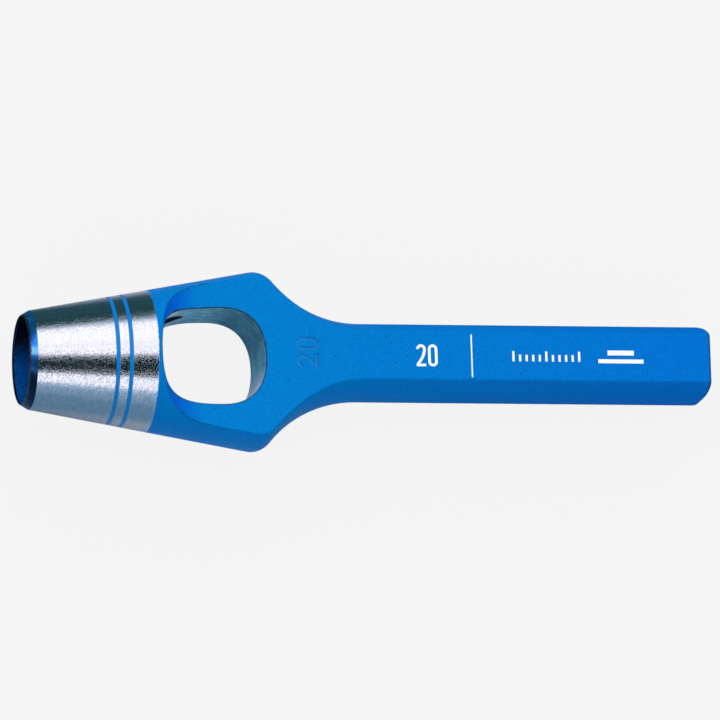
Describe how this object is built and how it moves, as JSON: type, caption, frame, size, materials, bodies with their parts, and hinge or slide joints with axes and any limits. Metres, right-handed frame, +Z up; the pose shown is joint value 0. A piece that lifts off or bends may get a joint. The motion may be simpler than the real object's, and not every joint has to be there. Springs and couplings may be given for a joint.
{
  "type": "drive hole punch",
  "caption": "Forged arch punch: open conical cutting end, rounded slug window through the head, and a long shank with flat faces and a striking end.",
  "frame": {"origin": "middle of the base of the box around the punch as it lies on a bench, on its back", "axes": "+X from the cutting edge towards the striking face, along the tool in plan, +Y across the width of the head, +Z up, out of the printed face. The tool's axis slopes down 3 degrees towards +X, because the cone's big end is thicker than the shank"},
  "size_m": [0.156, 0.04, 0.0318],
  "materials": {
    "turned_steel": "bare tool steel turned on a lathe, satin, with fine circumferential scratches",
    "edge_lacquer": "thin translucent blue lacquer over the ground bevel",
    "blue_lacquer": "even blue lacquer, semi-gloss, over a drop-forged skin",
    "white_print": "matt white printed ink"
  },
  "bodies": {
    "root": {"cutting_edge": "edge_lacquer", "cutter_cone": "turned_steel", "front_groove_lacquer": "blue_lacquer", "rear_groove_lacquer": "blue_lacquer", "punch_head": "blue_lacquer", "shank": "blue_lacquer", "size_digit_two": "white_print", "size_digit_zero": "white_print", "divider_line": "white_print", "rule_tick_01": "white_print", "rule_tick_02": "white_print", "rule_tick_03": "white_print", "rule_tick_04": "white_print", "rule_tick_05": "white_print", "rule_tick_06": "white_print", "rule_tick_07": "white_print", "rule_tick_08": "white_print", "rule_tick_09": "white_print", "rule_tick_10": "white_print", "rule_tick_11": "white_print", "label_bar_upper": "white_print", "label_bar_lower": "white_print"}
  },
  "joints": []
}
